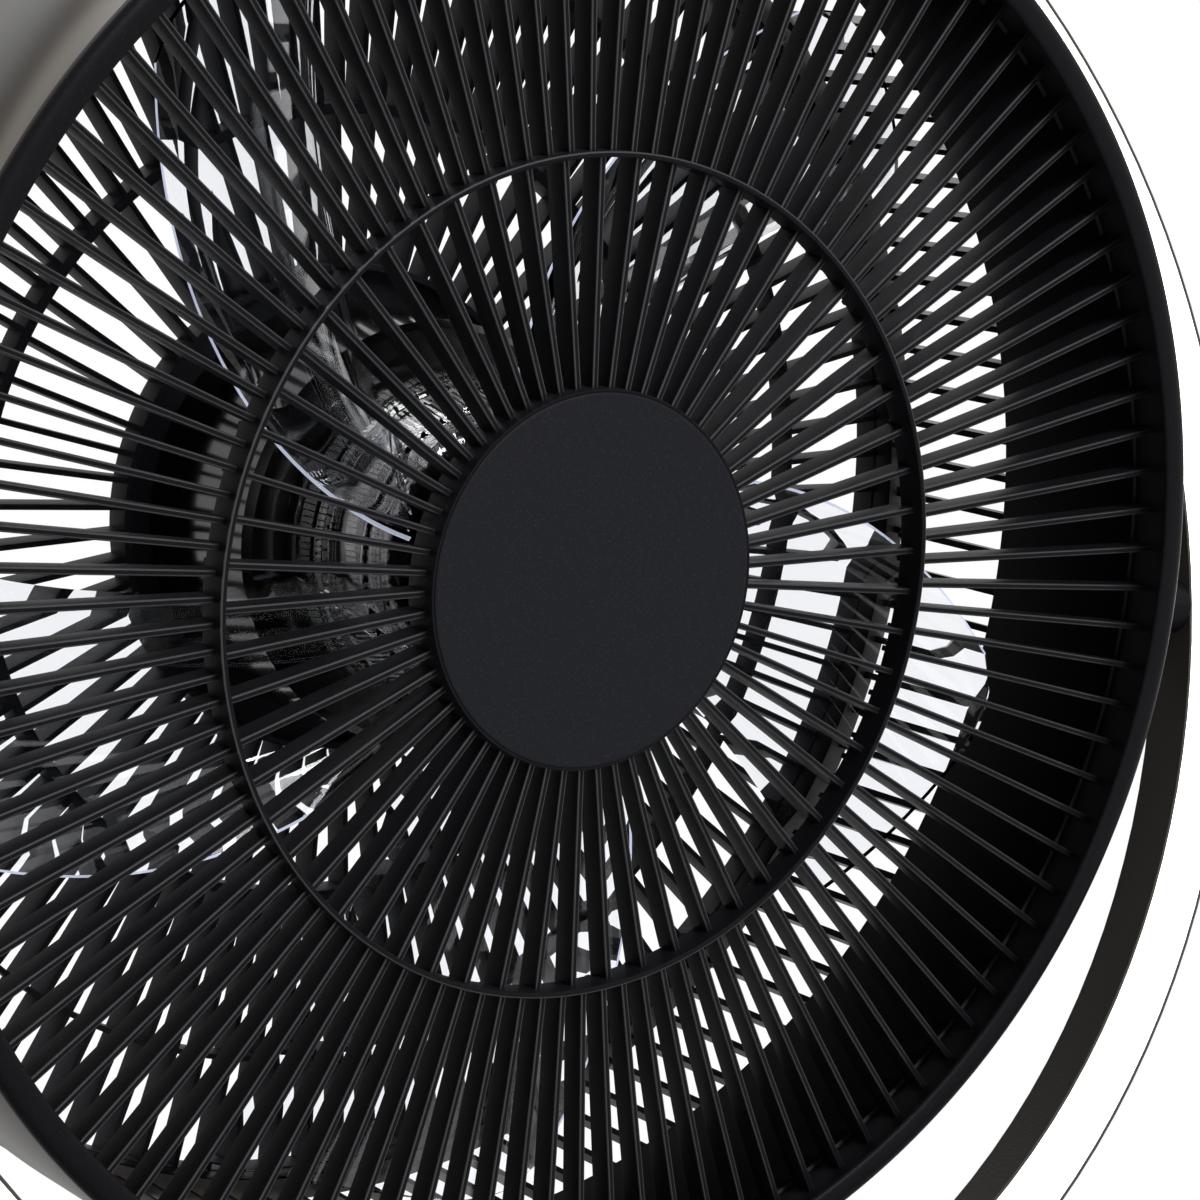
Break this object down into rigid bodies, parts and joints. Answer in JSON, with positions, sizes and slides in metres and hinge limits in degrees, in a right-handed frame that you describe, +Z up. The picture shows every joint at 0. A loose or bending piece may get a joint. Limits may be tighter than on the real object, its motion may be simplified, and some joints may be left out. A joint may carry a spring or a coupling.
{
  "type": "tripod floor fan",
  "caption": "Tripod floor fan: a drum head with radial grilles and a clear swept impeller tilts inside an upright ring light, on a swivel, a sliding column and folding legs.",
  "frame": {"origin": "on the floor at the centre of the footprint", "axes": "+Z up, the fan faces -Y, +X to the viewer's right when looking along +Y"},
  "size_m": [0.61, 0.5316, 1.3574],
  "materials": {
    "satin_black_plastic": "satin, fine grain",
    "gloss_black_plastic": "gloss",
    "grey_black_plastic": "satin",
    "clear_plastic": "polished, see-through",
    "opal_plastic": "opal",
    "board_green": "solder mask",
    "textured_black_paint": "fine wrinkle texture",
    "gloss_black_paint": "gloss",
    "satin_black_paint": "satin powder coat",
    "steel": "turned",
    "black_steel": "black oxide",
    "lamination_steel": "stacked",
    "magnet": "sintered",
    "rubber": "matt"
  },
  "bodies": {
    "tripod": {"tripod_hub": "satin_black_plastic", "leg_pins": "black_steel"},
    "column": {"centre_column": "satin_black_paint", "column_end_cap": "satin_black_plastic", "control_housing": "satin_black_plastic", "control_base": "satin_black_plastic", "control_board": "board_green", "power_inlet": "gloss_black_plastic"},
    "ring": {"light_channel": "textured_black_paint", "light_diffuser": "opal_plastic", "pivot_pins": "black_steel", "friction_washers": "satin_black_plastic", "ring_stem": "satin_black_paint", "stem_retainer": "steel"},
    "head": {"front_grille": "satin_black_plastic", "grille_cap": "grey_black_plastic", "drum": "gloss_black_plastic", "rear_grille": "grey_black_plastic", "motor_housing": "gloss_black_paint", "stator": "lamination_steel", "motor_cover": "satin_black_plastic"},
    "impeller": {"impeller": "clear_plastic", "impeller_nut": "grey_black_plastic", "motor_shaft": "steel", "rotor": "magnet"},
    "clamp_knob": {"clamp_knob": "satin_black_plastic"},
    "leg_1": {"leg_1": "satin_black_paint", "leg_knuckle_1": "satin_black_plastic", "foot_1": "rubber"},
    "leg_2": {"leg_2": "satin_black_paint", "leg_knuckle_2": "satin_black_plastic", "foot_2": "rubber"},
    "leg_3": {"leg_3": "satin_black_paint", "leg_knuckle_3": "satin_black_plastic", "foot_3": "rubber"},
    "power_button": {"power_button": "grey_black_plastic"},
    "speed_button": {"speed_button": "grey_black_plastic"},
    "timer_button": {"timer_button": "grey_black_plastic"},
    "light_button": {"light_button": "grey_black_plastic"}
  },
  "joints": [
    {"name": "column_height", "type": "slide", "parent": "tripod", "child": "column", "axis": [0, 0, 1], "range_m": [-0.05, 0.18]},
    {"name": "head_swivel", "type": "hinge", "parent": "column", "child": "ring", "pos_m": [0, 0.08448, 0.85], "axis": [0, 0, 1], "range_deg": [-45, 45]},
    {"name": "head_tilt", "type": "hinge", "parent": "ring", "child": "head", "pos_m": [0, 0.08448, 1.12], "axis": [1, 0, 0], "range_deg": [-33, 7]},
    {"name": "fan_spin", "type": "hinge", "parent": "head", "child": "impeller", "pos_m": [0, 0.08448, 1.12], "axis": [0, 0.9744, 0.225], "continuous": true},
    {"name": "clamp_turn", "type": "hinge", "parent": "tripod", "child": "clamp_knob", "pos_m": [0, 0.12448, 0.694], "axis": [0, 1, 0], "range_deg": [0, 270]},
    {"name": "leg_1_fold", "type": "hinge", "parent": "tripod", "child": "leg_1", "pos_m": [0, 0.04648, 0.654], "axis": [1, 0, 0], "range_deg": [0, 24]},
    {"name": "leg_2_fold", "type": "hinge", "parent": "tripod", "child": "leg_2", "pos_m": [0.03291, 0.10348, 0.654], "axis": [-0.5, 0.866, 0], "range_deg": [0, 24]},
    {"name": "leg_3_fold", "type": "hinge", "parent": "tripod", "child": "leg_3", "pos_m": [-0.03291, 0.10348, 0.654], "axis": [-0.5, -0.866, 0], "range_deg": [0, 24]},
    {"name": "power_press", "type": "slide", "parent": "column", "child": "power_button", "axis": [0, 1, 0], "range_m": [0, 0.0012], "stiffness_N_per_m": 800},
    {"name": "speed_press", "type": "slide", "parent": "column", "child": "speed_button", "axis": [0, 1, 0], "range_m": [0, 0.0012], "stiffness_N_per_m": 800},
    {"name": "timer_press", "type": "slide", "parent": "column", "child": "timer_button", "axis": [0, 1, 0], "range_m": [0, 0.0012], "stiffness_N_per_m": 800},
    {"name": "light_press", "type": "slide", "parent": "column", "child": "light_button", "axis": [0, 1, 0], "range_m": [0, 0.0012], "stiffness_N_per_m": 800}
  ]
}
